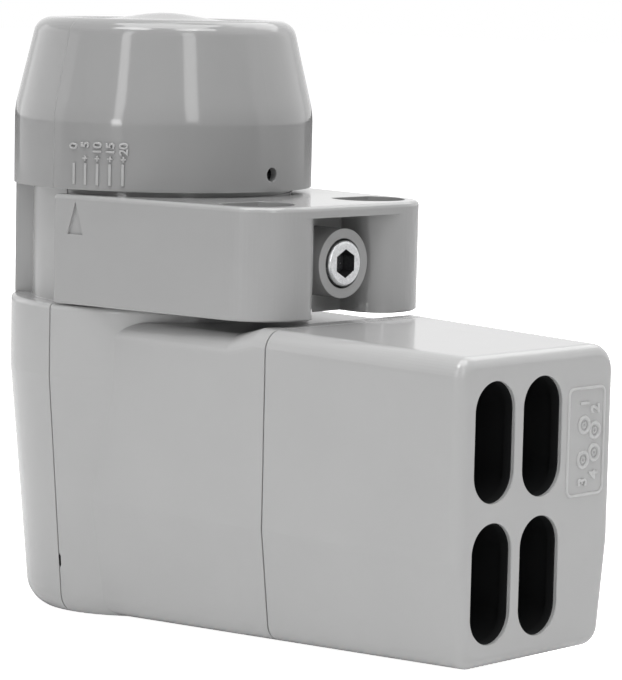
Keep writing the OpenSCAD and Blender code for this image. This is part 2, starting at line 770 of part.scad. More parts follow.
module clamp_pocket() {
    // The pocket runs between the lobes, whose inner corners are round, and is open below.
    top = clamp_top_z - top_plate;
    flare = pocket_half + lobe_in_r;
    translate([0, 0, clamp_z - 1]) linear_extrude(top - clamp_z + 1) difference() {
        translate([pocket_back_x, -flare]) square([20, 2 * flare]);
        for (s = [-1, 1]) {
            translate([clamp_front_x - lobe_in_r, s * flare]) circle(r = lobe_in_r);
            translate([pocket_back_x - 1, s > 0 ? pocket_half : -flare - 1])
                square([clamp_front_x - lobe_in_r - pocket_back_x + 1, lobe_in_r + 1]);
        }
    }
}

module socket_plan() {
    intersection() {
        circle(r = socket_r);
        translate([-socket_flat, -socket_r]) square(2 * socket_r);
    }
}

module clamp_bracket() {
    color("gray") difference() {
        union() {
            difference() {
                clamp_blank();
                clamp_pocket();
            }
            rod_x(boss_r, pocket_back_x - lap, boss_face_x, z = screw_z);
        }
        translate([0, 0, clamp_z - 1]) cylinder(r = bore_r, h = clamp_h + 2);
        for (s = [-1, 1]) translate([socket_x, s * socket_pitch / 2, socket_floor_z])
            linear_extrude(socket_depth + 1) socket_plan();
        rod_x(screw_hole_r, bore_r - 1, boss_face_x + 1, z = screw_z);
        rod_x(head_r + head_clear, seat_x, boss_face_x + 1, z = screw_z);
        pointer();
    }
}

// Triangle let into the near arm, pointing up at the scale.
module pointer() {
    below_edge = 1.4;
    side_angle = atan((arm_half - front_half) / (clamp_front_x - arm_end_x));
    y = arm_half - (pointer_x - arm_end_x) * tan(side_angle);
    translate([pointer_x, -y, clamp_top_z - below_edge - pointer_h]) rotate([90, 0, side_angle])
        translate([0, 0, -pointer_deep]) linear_extrude(3)
            polygon([[-pointer_w / 2, 0], [pointer_w / 2, 0], [0, pointer_h]]);
}

module clamp_slider() {
    color("silver") difference() {
        rotate([0, 0, -slider_half_angle]) rotate_extrude(angle = 2 * slider_half_angle)
            translate([slider_out_r - slider_t, screw_z - slider_h / 2]) square([slider_t, slider_h]);
        rod_x(screw_r + thread_clear, slider_out_r - slider_t - 2, slider_out_r + 2, z = screw_z);
    }
}

module screw_washer() {
    color("silver") difference() {
        rod_x(head_r, seat_x, seat_x + washer_t - touch, z = screw_z);
        rod_x(screw_hole_r, seat_x - 1, seat_x + washer_t + 1, z = screw_z);
    }
}

module clamp_screw() {
    head_round = 0.6;
    color("silver") difference() {
        union() {
            rod_x(screw_r, slider_out_r - slider_t - 1, head_low_x + lap, z = screw_z);
            translate([head_low_x, 0, screw_z]) rotate([0, 90, 0]) rotate_extrude()
                polygon(rounded([[0, 0, 0], [head_r, 0, 0], [head_r, head_h, head_round], [0, head_h, 0]], 4));
        }
        translate([head_x - hex_depth, 0, screw_z]) rotate([0, 90, 0])
            cylinder(r = hex_flats / 2 / cos(30), h = head_h, $fn = 6);
    }
}

main_housing();
rear_shell();
stop_collar();
housing_gasket();
cap_ring();
cap_seal();
feed_cap();
feed_horn();
horn_gasket();
chassis_block();
septum_plate();
probe_pins();
main_board();
resonator_pucks();
shield_cans();
chassis_lid();
lid_screws();
f_port_shells();
f_port_insulators();
f_port_contacts();
port_seals();
port_nuts();
weather_cover();
cable_liner();
clamp_bracket();
clamp_slider();
screw_washer();
clamp_screw();
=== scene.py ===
import math

import bmesh
import bpy
from mathutils import Matrix, Vector
from mathutils.bvhtree import BVHTree

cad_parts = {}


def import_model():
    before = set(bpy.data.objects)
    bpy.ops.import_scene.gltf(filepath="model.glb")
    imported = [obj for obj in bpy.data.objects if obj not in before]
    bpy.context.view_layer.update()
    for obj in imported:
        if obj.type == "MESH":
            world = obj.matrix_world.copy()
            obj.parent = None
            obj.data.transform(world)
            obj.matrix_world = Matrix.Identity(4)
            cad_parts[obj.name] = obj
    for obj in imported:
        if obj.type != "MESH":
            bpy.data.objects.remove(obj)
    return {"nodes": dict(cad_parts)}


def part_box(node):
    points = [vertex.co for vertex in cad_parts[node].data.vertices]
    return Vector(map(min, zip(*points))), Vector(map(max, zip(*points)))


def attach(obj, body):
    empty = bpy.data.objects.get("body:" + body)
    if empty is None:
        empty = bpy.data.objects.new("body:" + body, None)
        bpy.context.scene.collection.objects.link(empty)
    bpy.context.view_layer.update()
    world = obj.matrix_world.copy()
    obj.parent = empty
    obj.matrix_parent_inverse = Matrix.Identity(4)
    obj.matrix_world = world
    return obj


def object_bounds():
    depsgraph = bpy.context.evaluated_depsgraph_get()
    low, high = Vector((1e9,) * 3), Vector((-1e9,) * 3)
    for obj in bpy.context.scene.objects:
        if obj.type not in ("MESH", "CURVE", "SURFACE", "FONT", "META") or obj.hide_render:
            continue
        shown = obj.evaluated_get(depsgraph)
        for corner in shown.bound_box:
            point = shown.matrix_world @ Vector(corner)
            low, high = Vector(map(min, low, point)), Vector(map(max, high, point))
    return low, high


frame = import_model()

MM = 0.001                                   # Blender works in metres
NODES = frame["nodes"]
CAD_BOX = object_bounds()

# Size of the photograph's frame, and the points that are read off it.
W, H = 622, 680
LONG_SIDE = max(W, H)
POINTS = {
    "left_edge": (10.0, None),
    "right_edge": (612.0, None),
    "top_edge": (None, 10.5),
    "bottom_edge": (None, 668.8),
    "vent": (271.3, 173.4),
    "screw_head": (345.6, 262.5),
    "zero_line": (73.5, 174.5),
    "twenty_line": (123.1, 175.5),
    "zero_numeral": (74.0, 145.8),
    "twenty_numeral": (123.8, 151.7),
    "upper_near_slot": (494.6, 443.0),
    "upper_far_slot": (542.2, 436.0),
    "lower_near_slot": (490.6, 585.0),
    "lower_far_slot": (537.6, 575.0),
    "legend_upper_left": (569.5, 390.0),
    "legend_lower_right": (601.0, 491.5),
    "seam_notch": (60.0, 560.0),
    "pointer_tip": (74.2, 202.0),
}


# ---------------------------------------------------------------- camera

# Where it stands, how it is turned, and its lens and sensor in mm.
CAMERA_PLACE = Vector((467.85, -440.83, 128.99)) * MM
CAMERA_AZIMUTH = math.radians(43.872)        # from -Y towards +X
CAMERA_ELEVATION = math.radians(6.547)
CAMERA_ROLL = math.radians(1.287)
LENS = 162.36
SENSOR_WIDTH = 36.0
SIGHT_END = 20.0                             # far limit of the camera's sight, in metres

PIXELS_PER_SLOPE = LONG_SIDE * LENS / SENSOR_WIDTH
OBJECT_MIDDLE = Vector((0, 0, 60)) * MM


def camera_axes():
    """Right, up and forward of the camera."""
    a, e, r = CAMERA_AZIMUTH, CAMERA_ELEVATION, CAMERA_ROLL
    forward = Vector((-math.sin(a) * math.cos(e), math.cos(a) * math.cos(e), -math.sin(e)))
    level = Vector((math.cos(a), math.sin(a), 0))
    upright = level.cross(forward)
    right = level * math.cos(r) + upright * math.sin(r)
    return right, right.cross(forward), forward


def make_camera():
    data = bpy.data.cameras.new("camera")
    data.lens = LENS
    data.sensor_width = SENSOR_WIDTH
    data.sensor_fit = "AUTO"
    data.clip_end = SIGHT_END
    camera = bpy.data.objects.new("camera", data)
    right, up, forward = camera_axes()
    turn = Matrix((right, up, -forward)).transposed()
    camera.matrix_world = Matrix.Translation(CAMERA_PLACE) @ turn.to_4x4()
    bpy.context.collection.objects.link(camera)
    bpy.context.scene.camera = camera
    return camera


camera = make_camera()


def tree_of(*names):
    """Search tree over the surfaces of CAD nodes, as they stand at rest."""
    corners, faces = [], []
    for name in names:
        node = NODES[name]
        first = len(corners)
        corners += [node.matrix_world @ v.co for v in node.data.vertices]
        faces += [[first + i for i in p.vertices] for p in node.data.polygons]
    return BVHTree.FromPolygons(corners, faces)


def place_on(tree, point):
    """Where the ray through an image point meets a surface, and the normal there.

    A miss takes the nearest place.
    """
    x, y = point
    ray = Vector((x - W / 2, H / 2 - y, -PIXELS_PER_SLOPE))
    direction = (camera.matrix_world.to_3x3() @ ray).normalized()
    hit, normal, _, _ = tree.ray_cast(CAMERA_PLACE, direction)
    if hit is None:
        reach = (OBJECT_MIDDLE - CAMERA_PLACE).length
        hit, normal, _, _ = tree.find_nearest(CAMERA_PLACE + direction * reach)
    return hit, normal


def image_of(place):
    """Image point of a place in the frame."""
    right, up, forward = camera_axes()
    offset = Vector(place) - CAMERA_PLACE
    scale = PIXELS_PER_SLOPE / offset.dot(forward)
    return W / 2 + offset.dot(right) * scale, H / 2 - offset.dot(up) * scale


# ---------------------------------------------------------------- materials

MOULD_EDGE = 0.25 * MM                       # rounding that a mould leaves on a sharp edge
METAL_EDGE = 0.12 * MM                       # and that tumbling and plating leave on metal
TONE_STOPS = (0.3, 0.7)                      # where a pattern turns all dark, and all light
BURNISHED, DULLED = 0.05, 0.08               # gloss won and lost along a metal's grain
TRACK_PATTERN_MM = 30.0                      # two tracks one way and four the other
COPPER_THICKNESS = 0.035 * MM
WHITE = (1, 1, 1, 1)


def linear(hex_value):
    """sRGB hex colour as linear red, green, blue and alpha."""
    parts = [int(hex_value[i:i + 2], 16) / 255 for i in (1, 3, 5)]
    return [c / 12.92 if c <= 0.04045 else ((c + 0.055) / 1.055) ** 2.4 for c in parts] + [1.0]


def per_mm(size_mm):
    """Texture scale, in cycles per metre, of a pattern with this size in millimetres."""
    return 1 / (size_mm * MM)


def add(tree, kind, settings=None, links=None):
    """Adds a node. Settings go by attribute or socket, and links by the socket they end in."""
    node = tree.nodes.new(kind)
    for name, value in (settings or {}).items():
        if name in node.inputs:
            node.inputs[name].default_value = value
        else:
            setattr(node, name, value)
    for socket, output in (links or {}).items():
        tree.links.new(output, node.inputs[socket])
    return node


def new_material(name):
    material = bpy.data.materials.new(name)
    material.use_nodes = True
    tree = material.node_tree
    tree.nodes.clear()
    return material, tree


def moulded_plastic(name, light, dark, roughness, spread, grain_mm, depth_mm, mottle_mm,
                    ior=1.5, sheen=0.5):
    """Injection-moulded plastic, with edges that the mould rounds.

    A faint mottle in colour and gloss comes from the melt, and the grain from the tool.
    """
    material, tree = new_material(name)
    where = add(tree, "ShaderNodeTexCoord").outputs["Object"]
    mottle = add(tree, "ShaderNodeTexNoise",
                 {"Scale": per_mm(mottle_mm), "Detail": 2.0, "Roughness": 0.5},
                 {"Vector": where}).outputs["Fac"]
    colour = add(tree, "ShaderNodeValToRGB", {}, {"Fac": mottle})
    for stop, place, shade in zip(colour.color_ramp.elements, TONE_STOPS, (dark, light)):
        stop.position, stop.color = place, linear(shade)
    gloss = add(tree, "ShaderNodeMapRange",
                {"To Min": roughness - spread, "To Max": roughness + spread}, {"Value": mottle})
    grain = add(tree, "ShaderNodeTexNoise",
                {"Scale": per_mm(grain_mm), "Detail": 3.0, "Roughness": 0.55},
                {"Vector": where}).outputs["Fac"]
    edge = add(tree, "ShaderNodeBevel", {"samples": 6, "Radius": MOULD_EDGE})
    bump = add(tree, "ShaderNodeBump", {"Strength": 1.0, "Distance": depth_mm * MM},
               {"Height": grain, "Normal": edge.outputs["Normal"]})
    bsdf = add(tree, "ShaderNodeBsdfPrincipled", {"IOR": ior, "Specular IOR Level": sheen},
               {"Base Color": colour.outputs["Color"], "Roughness": gloss.outputs["Result"],
                "Normal": bump.outputs["Normal"]})
    add(tree, "ShaderNodeOutputMaterial", {}, {"Surface": bsdf.outputs["BSDF"]})
    return material


def worked_metal(name, light, dark, roughness, grain_mm, depth_mm):
    """Metal with a fine grain in colour, gloss and relief, from how its surface was made."""
    material, tree = new_material(name)
    where = add(tree, "ShaderNodeTexCoord").outputs["Object"]
    grain = add(tree, "ShaderNodeTexNoise",
                {"Scale": per_mm(grain_mm), "Detail": 5.0, "Roughness": 0.65},
                {"Vector": where}).outputs["Fac"]
    colour = add(tree, "ShaderNodeValToRGB", {}, {"Fac": grain})
    for stop, place, shade in zip(colour.color_ramp.elements, TONE_STOPS, (dark, light)):
        stop.position, stop.color = place, linear(shade)
    gloss = add(tree, "ShaderNodeMapRange",
                {"To Min": roughness - BURNISHED, "To Max": roughness + DULLED},
                {"Value": grain})
    edge = add(tree, "ShaderNodeBevel", {"samples": 6, "Radius": METAL_EDGE})
    bump = add(tree, "ShaderNodeBump", {"Strength": 1.0, "Distance": depth_mm * MM},
               {"Height": grain, "Normal": edge.outputs["Normal"]})
    bsdf = add(tree, "ShaderNodeBsdfPrincipled", {"Metallic": 1.0},
               {"Base Color": colour.outputs["Color"], "Roughness": gloss.outputs["Result"],
                "Normal": bump.outputs["Normal"]})
    add(tree, "ShaderNodeOutputMaterial", {}, {"Surface": bsdf.outputs["BSDF"]})
    return material


def masked_board(name, mask, dark_mask, copper):
    """Glass-epoxy board under solder mask: copper tracks show through as raised, lighter lines."""
    material, tree = new_material(name)
    where = add(tree, "ShaderNodeTexCoord").outputs["Object"]
    tracks = add(tree, "ShaderNodeTexBrick",
                 {"Scale": per_mm(TRACK_PATTERN_MM), "Color1": linear(dark_mask),
                  "Color2": linear(mask), "Mortar": linear(copper)}, {"Vector": where})
    bump = add(tree, "ShaderNodeBump", {"Strength": 1.0, "Distance": COPPER_THICKNESS},
               {"Height": tracks.outputs["Fac"]})
    bsdf = add(tree, "ShaderNodeBsdfPrincipled", {"Roughness": 0.3, "IOR": 1.55},
               {"Base Color": tracks.outputs["Color"], "Normal": bump.outputs["Normal"]})
    add(tree, "ShaderNodeOutputMaterial", {}, {"Surface": bsdf.outputs["BSDF"]})
    return material


# ASA from a stoned tool: a pale grey with a soft gloss, in which near pieces show as dim,
# blurred images.
moulded_asa = moulded_plastic(
    "moulded_asa", light="#ababab", dark="#a9a9a9", roughness=0.12, spread=0.015,
    grain_mm=0.6, depth_mm=0.0015, mottle_mm=16.0)
# Polypropylene from a polished tool: a shade deeper for want of surface haze, with a clear,
# narrow highlight.
polished_polypropylene = moulded_plastic(
    "polished_polypropylene", light="#929292", dark="#909090", roughness=0.09, spread=0.01,
    grain_mm=1.4, depth_mm=0.0004, mottle_mm=14.0, ior=1.49)
# The same polypropylene, a shade lighter as painted highlight on the raised figures and lines.
painted_highlight_polypropylene = moulded_plastic(
    "painted_highlight_polypropylene", light="#a9a9a9", dark="#a3a3a3", roughness=0.2, spread=0.02,
    grain_mm=1.4, depth_mm=0.0006, mottle_mm=4.0, ior=1.49)
# ASA on the raised legend, a shade lighter in the same way: painted highlight.
painted_highlight_asa = moulded_plastic(
    "painted_highlight_asa", light="#bababa", dark="#b3b3b3", roughness=0.3, spread=0.02,
    grain_mm=0.6, depth_mm=0.001, mottle_mm=4.0)
# Glass-filled nylon: a shade darker than the housing, with the same soft gloss.
glass_filled_nylon = moulded_plastic(
    "glass_filled_nylon", light="#9f9f9f", dark="#9d9d9d", roughness=0.12, spread=0.015,
    grain_mm=0.8, depth_mm=0.001, mottle_mm=12.0)
# Black plastic whose colour is painted shade: the shade inside the cable slots, in the cap's ring
# and in the seam notch. Its weak, rough gloss keeps them dark.
painted_shade_black = moulded_plastic(
    "painted_shade_black", light="#0a0b0c", dark="#08090a", roughness=0.8, spread=0.05,
    grain_mm=0.4, depth_mm=0.004, mottle_mm=6.0, sheen=0.2)
# EPDM rubber: black with a dusty, dull face.
epdm_rubber = moulded_plastic(
    "epdm_rubber", light="#1a1a1b", dark="#151516", roughness=0.75, spread=0.05,
    grain_mm=0.3, depth_mm=0.008, mottle_mm=5.0)
# PTFE: white and waxy.
ptfe = moulded_plastic(
    "ptfe", light="#eeeeea", dark="#e6e6e2", roughness=0.4, spread=0.05,
    grain_mm=0.5, depth_mm=0.003, mottle_mm=5.0, ior=1.38)
# Alumina ceramic: cream, fine-grained and dry.
alumina = moulded_plastic(
    "alumina", light="#d3c6a8", dark="#c8bb9c", roughness=0.55, spread=0.05,
    grain_mm=0.3, depth_mm=0.008, mottle_mm=3.0, ior=1.76)
# Die-cast zinc: grey, with the faint pebbled skin of the mould.
die_cast_zinc = worked_metal(
    "die_cast_zinc", light="#b4b6b9", dark="#9fa1a4", roughness=0.42,
    grain_mm=1.4, depth_mm=0.02)
# Zinc plate over turned steel: bright, with fine marks from the turning.
bright_zinc = worked_metal(
    "bright_zinc", light="#d2d3d4", dark="#b2b3b5", roughness=0.24,
    grain_mm=0.5, depth_mm=0.006)
# Dark steel with a dull sheen, whose colour paints the shade deep inside the screw's socket.
painted_shade_steel = worked_metal(
    "painted_shade_steel", light="#4a4a4b", dark="#37373a", roughness=0.5,
    grain_mm=0.5, depth_mm=0.004)
# Hot-dipped tin plate: pale, with broad soft spangle.
tin_plate = worked_metal(
    "tin_plate", light="#c9cacb", dark="#b7b8ba", roughness=0.28,
    grain_mm=3.0, depth_mm=0.006)
# Gold flash over nickel: warm and bright, on the contacts.
gold_flash = worked_metal(
    "gold_flash", light="#e2b55a", dark="#d3a448", roughness=0.2,
    grain_mm=0.6, depth_mm=0.002)
# Glass-epoxy circuit board under solder mask: glossy deep green.
solder_mask = masked_board("solder_mask", mask="#15452a", dark_mask="#123a22", copper="#2f7a45")

FINISHES = {
    moulded_asa: ["main_housing", "rear_shell", "stop_collar", "weather_cover"],
    polished_polypropylene: ["feed_cap"],
    glass_filled_nylon: ["clamp_bracket"],
    # cable liner and cap ring in black: painted shade in the slots and the cap's ring
    painted_shade_black: ["cable_liner", "cap_ring"],
    epdm_rubber: ["housing_gasket", "cap_seal", "horn_gasket", "port_seals"],
    ptfe: ["f_port_insulators"],
    alumina: ["resonator_pucks"],
    die_cast_zinc: ["feed_horn", "chassis_block", "chassis_lid"],
    bright_zinc: ["clamp_screw", "screw_washer", "clamp_slider", "lid_screws", "port_nuts",
                  "f_port_shells"],
    tin_plate: ["septum_plate", "shield_cans"],
    gold_flash: ["probe_pins", "f_port_contacts"],
    solder_mask: ["main_board"],
}
for material, names in FINISHES.items():
    for name in names:
        mesh = NODES[name].data
        mesh.materials.clear()
        mesh.materials.append(material)


# ---------------------------------------------------------------- how pieces are made

WELD = 0.01 * MM                             # corners closer than this are one


def piece(name, bm, material, body, smooth=True):
    """Turns a bmesh into an object that rides on a body."""
    bmesh.ops.recalc_face_normals(bm, faces=bm.faces)
    mesh = bpy.data.meshes.new(name)
    bm.to_mesh(mesh)
    bm.free()
    mesh.materials.append(material)
    if smooth:
        mesh.shade_smooth()
    made = bpy.data.objects.new(name, mesh)
    bpy.context.collection.objects.link(made)
    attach(made, body)


def skin(bm, rings, ends=False):
    """Joins rings of corners, each to the next, and may close the two ends."""
    for a, b in zip(rings, rings[1:]):
        for k in range(len(a)):
            after = (k + 1) % len(a)
            bm.faces.new((a[k], a[after], b[after], b[k]))
    if ends:
        bm.faces.new(rings[0][::-1])
        bm.faces.new(rings[-1])


def tube(bm, path, radius, sides=8, closed=True):
    """Sweeps a round section along a path of points; a closed path returns to its start."""
    count = len(path)
    turns = [2 * math.pi * k / sides for k in range(sides)]
    rings = []
    side = None
    for i, place in enumerate(path):
        before = path[(i - 1) % count] if closed or i > 0 else place
        after = path[(i + 1) % count] if closed or i < count - 1 else place
        along = (after - before).normalized()
        side = along.orthogonal() if side is None else side - along * side.dot(along)
        side.normalize()
        up = along.cross(side)
        rings.append([bm.verts.new(place + (side * math.cos(t) + up * math.sin(t)) * radius)
                      for t in turns])
    if closed:
        start, end = rings[0], rings[-1][0].co
        shift = min(range(sides), key=lambda s: (end - start[s].co).length)
        rings.append(start[shift:] + start[:shift])
    skin(bm, rings, ends=not closed)


def arc(x, y, z, radius, start, sweep, steps):
    """Places along an arc in the plane of the end face, with both ends. Angles in degrees."""
    turns = [math.radians(start + sweep * k / steps) for k in range(steps + 1)]
    return [Vector((x, y + radius * math.cos(t), z + radius * math.sin(t))) for t in turns]


def text_mesh(words, size, depth, squeeze=1.0):
    """Solid letters in the XY plane, centred, as a bmesh."""
    curve = bpy.data.curves.new("words", "FONT")
    curve.body = words
    curve.size = size
    curve.extrude = depth / 2
    curve.bevel_depth = depth / 4
    curve.bevel_resolution = 1
    curve.align_x = "CENTER"
    curve.align_y = "CENTER"
    carrier = bpy.data.objects.new("words", curve)
    bpy.context.collection.objects.link(carrier)
    shown = carrier.evaluated_get(bpy.context.evaluated_depsgraph_get())
    mesh = bpy.data.meshes.new_from_object(shown)
    bm = bmesh.new()
    bm.from_mesh(mesh)
    bpy.data.objects.remove(carrier)
    bpy.data.curves.remove(curve)
    bpy.data.meshes.remove(mesh)
    for v in bm.verts:
        v.co.x *= squeeze
    bmesh.ops.remove_doubles(bm, verts=bm.verts, dist=WELD)
    return bm


def box_of(places):
    """Lowest and highest corner of the box that holds some places."""
    return [Vector([pick(p[k] for p in places) for k in range(3)]) for pick in (min, max)]


def middle_of(places):
    """Middle of the box that holds some places."""
    low, high = box_of(places)
    return (low + high) / 2


# Where the features of the solids lie, in mm: the node, the middle, and half the box that
# holds its edge vertices.
FEATURES = {
    "vent": ("feed_cap", (31.0, 1.0, 91.2), (1.2, 1.7, 1.7)),
    "screw_head": ("clamp_screw", (53.1, 0, 74.9), (0.3, 5, 5)),
    "zero_line": ("feed_cap", (6.38, -30.6, 90.9), (0.7, 0.7, 2.4)),
    "twenty_line": ("feed_cap", (16.45, -26.6, 90.9), (0.7, 0.7, 2.4)),
    "upper_near_slot": ("weather_cover", (104, -12.75, 46.3), (0.1, 6, 12)),
    "upper_far_slot": ("weather_cover", (104, 0.95, 46.3), (0.1, 6, 12)),
    "lower_near_slot": ("weather_cover", (104, -12.75, 19.7), (0.1, 6, 12)),
    "lower_far_slot": ("weather_cover", (104, 0.95, 19.7), (0.1, 6, 12)),
    "pointer_tip": ("clamp_bracket", (7, -30.67, 85.3), (0.3, 0.7, 0.3)),
}


def feature_places(name):
    """The vertices of a solid that make up one of its features."""
    node, middle, half = FEATURES[name]
    return [v.co for v in NODES[node].data.vertices
            if all(abs(v.co[k] / MM - middle[k]) <= half[k] for k in range(3))]


cap_tree = tree_of("feed_cap")
cover_tree = tree_of("weather_cover")
cap_low, cap_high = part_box("feed_cap")
cap_radius = -cap_low[1]


# ---------------------------------------------------------------- skew scale on the cap

SKEW_STEP = 5                                # degrees from one line to the next
SKEW_COUNT = 5
NUMERAL_SIZE = 2.5 * MM
NUMERAL_RELIEF = 0.34 * MM
NUMERAL_LIFT = 0.4 * NUMERAL_RELIEF          # of a figure's middle above the cap's wall
NUMERAL_SQUEEZE = 1.05                       # width of a figure, as a share of the face's own
NUMERAL_PITCH = 1.25 * MM                    # from a number's units down to its tens
SIGN_PITCH = 1.45 * MM                       # and from the tens down to the sign
SIGN_SIZE = 0.8                              # of a sign, as a share of a figure's
NUMERAL_RISE = 0.36 * MM                     # of the other numbers above the nought
# Section of a line's lighter top, painted highlight, in mm: how far out from the line, half
# the width, and how far in from the line's ends.
LINE_SECTION = ((-0.1, 0.3, 0.1), (0.05, 0.3, 0.1), (0.09, 0.24, 0.16))


def skew_numerals():
    """Raised numbers over the skew scale, bent round the cap, lighter as painted highlight. They
    read upwards.
    """
    first, _ = place_on(cap_tree, POINTS["zero_numeral"])
    last, _ = place_on(cap_tree, POINTS["twenty_numeral"])
    start = math.atan2(first.y, first.x)
    step = (math.atan2(last.y, last.x) - start) / (SKEW_COUNT - 1)
    units = first.z + NUMERAL_RISE
    tens = units - NUMERAL_PITCH
    for i in range(SKEW_COUNT):
        angle = SKEW_STEP * i
        # A nought stands by itself, between the two rows of digits.
        rows = [(str(angle)[-1], units), ("+", tens - SIGN_PITCH)] if angle else [("0", first.z)]
        if angle >= 10:
            rows.append((str(angle)[0], tens))
        whole = bmesh.new()
        for sign, height in rows:
            size = NUMERAL_SIZE * (SIGN_SIZE if sign == "+" else 1.0)
            bm = text_mesh(sign, size, NUMERAL_RELIEF, NUMERAL_SQUEEZE)
            centre = middle_of([v.co for v in bm.verts])
            for v in bm.verts:
                turn = start + i * step - (v.co.y - centre.y) / cap_radius
                reach = cap_radius + v.co.z + NUMERAL_LIFT
                v.co = Vector((reach * math.cos(turn), reach * math.sin(turn),
                               height + v.co.x - centre.x))
            glyph = bpy.data.meshes.new("glyph")
            bm.to_mesh(glyph)
            bm.free()
            whole.from_mesh(glyph)
            bpy.data.meshes.remove(glyph)
        piece("skew_numeral_%d" % angle, whole, painted_highlight_polypropylene, "housing",
              smooth=False)


def skew_lines():
    """Lighter tops of the scale's raised lines, as painted highlight: thin, bevelled, and bent
    with the cap's wall.
    """
    zero, twenty = feature_places("zero_line"), feature_places("twenty_line")
    first, last = (math.atan2(middle_of(e).y, middle_of(e).x) for e in (zero, twenty))
    low, high = (corner.z for corner in box_of(zero))
    top = max(math.hypot(p.x, p.y) for p in zero)
    for i in range(SKEW_COUNT):
        turn = first + (last - first) * i / (SKEW_COUNT - 1)
        bm = bmesh.new()
        rings = []
        for rise, width, inset in LINE_SECTION:
            reach = top + rise * MM
            swing = width * MM / top
            foot, head = low + inset * MM, high - inset * MM
            rings.append([bm.verts.new((reach * math.cos(turn + side * swing),
                                        reach * math.sin(turn + side * swing), z))
                          for side, z in ((-1, foot), (1, foot), (1, head), (-1, head))])
        skin(bm, rings, ends=True)
        piece("skew_line_%d" % (SKEW_STEP * i), bm, painted_highlight_polypropylene, "housing",
              smooth=False)


skew_numerals()
skew_lines()


# ---------------------------------------------------------------- legend beside the slots

LEGEND_LINE = 0.3 * MM
LEGEND_CORNER = 1.3 * MM
LEGEND_DIGIT = 3.4 * MM
LEGEND_RELIEF = 0.45 * MM
LEGEND_RING = 1.45 * MM
LEGEND_EYE = 0.36 * LEGEND_RING              # small ring in the middle of each
RING_LINE = 0.4 * MM
EYE_LINE = 0.22 * MM
RING_STEPS = 28
CORNER_STEPS = 6
# Each port's ring across and up the frame, and its number up the frame, as shares of it.
LEGEND_PORTS = ((0.44, 0.655, 0.86), (0.74, 0.595, 0.80), (0.43, 0.33, 0.12), (0.74, 0.385, 0.18))


def rounded_rectangle(x, low, high, radius):
    """Closed path round a rectangle on the end face, given by its y and z at two corners."""
    left, right = low[0] + radius, high[0] - radius
    foot, head = low[1] + radius, high[1] - radius
    path = []
    for y, z, start in ((right, head, 0), (left, head, 90), (left, foot, 180), (right, foot, 270)):
        path += arc(x, y, z, radius, start, 90, CORNER_STEPS)
    return path


def port_legend():
    """Raised frame with four rings and plain numbers, lighter as painted highlight. The rings lie
    as the ports do.
    """
    near, _ = place_on(cover_tree, POINTS["legend_upper_left"])
    far, _ = place_on(cover_tree, POINTS["legend_lower_right"])
    x, width, height = near.x, far.y - near.y, near.z - far.z
    bm = bmesh.new()
    outline = rounded_rectangle(x, (near.y, far.z), (far.y, near.z), LEGEND_CORNER)
    tube(bm, outline, LEGEND_LINE)
    piece("legend_frame", bm, painted_highlight_asa, "cover")
    for number, (across, up, digit_up) in enumerate(LEGEND_PORTS, start=1):
        y, z = near.y + across * width, far.z + up * height
        bm = bmesh.new()
        for radius, line in ((LEGEND_RING, RING_LINE), (LEGEND_EYE, EYE_LINE)):
            tube(bm, arc(x, y, z, radius, 0, 360, RING_STEPS)[:-1], line)
        piece("legend_ring_%d" % number, bm, painted_highlight_asa, "cover")
        bm = text_mesh(str(number), LEGEND_DIGIT, LEGEND_RELIEF)
        for v in bm.verts:
            v.co = Vector((x + v.co.z, y - v.co.y, far.z + digit_up * height + v.co.x))
        piece("legend_number_%d" % number, bm, painted_highlight_asa, "cover",
              smooth=False)


port_legend()


# ---------------------------------------------------------------- moulding line of the cap

LINE_SHIFT = 0.7 * MM                        # of the tool's split from the cap's middle
LINE_FOOT = 0.4 * MM                         # above the cap's rim
LINE_HEAD = 1.6 * MM                         # below the cap's top
LINE_RADIUS = 0.07 * MM
LINE_STEPS = 48
CLEAR_OF_CAP = 0.1                           # metres from the axis, where the rays start


def cap_moulding_line():
    """Faint line that the two halves of the cap's tool leave, over both sides, lighter as painted
    highlight.
    """
    foot = cap_low[2] + LINE_FOOT
    rise = cap_high[2] - LINE_HEAD - foot
    for side, name in ((-1, "near"), (1, "far")):
        path = []
        for k in range(LINE_STEPS + 1):
            outside = Vector((LINE_SHIFT, side * CLEAR_OF_CAP, foot + rise * k / LINE_STEPS))
            hit, _, _, _ = cap_tree.ray_cast(outside, Vector((0, -side, 0)))
            if hit is not None:
                path.append(hit)
        bm = bmesh.new()
        tube(bm, path, LINE_RADIUS, closed=False)
        piece("cap_moulding_line_%s" % name, bm, painted_highlight_polypropylene, "housing")


cap_moulding_line()


# ---------------------------------------------------------------- slots and the ports behind

SLOT_WIDTH, SLOT_HEIGHT = 11.3 * MM, 23.0 * MM
SLOT_STEPS = 14                              # round each end of a slot
LIP_MARGIN = 0.35 * MM                       # by which a lip is wider and higher than its slot
LIP_DEPTH = 0.18 * MM                        # of its middle behind the end face
LIP_RADIUS = 0.2 * MM
# Section of a slot's black sleeve, painted shade inside the slot, in mm: how far behind the
# end face, and how much narrower and lower than the slot.
SHADE_SLEEVE_SECTION = ((0.75, 0.0), (0.75, 0.24), (0.9, 0.3), (2.6, 0.3))
INSULATOR_RADIUS = 3.2 * MM
THREAD_PITCH = 0.794 * MM                    # 32 turns to the inch
THREAD_RADIUS = 4.66 * MM
THREAD_RIDGE = 0.26 * MM
THREAD_START = 0.4 * MM                      # after the nut
THREAD_RUNOUT = 0.6 * MM                     # before the port's mouth
STEPS_PER_TURN = 32


def stadium(x, y, z, width, height):
    """Closed path round a slot with round ends, given by its middle."""
    radius = width / 2
    rise = height / 2 - radius
    return (arc(x, y, z + rise, radius, 0, 180, SLOT_STEPS)
            + arc(x, y, z - rise, radius, 180, 180, SLOT_STEPS))


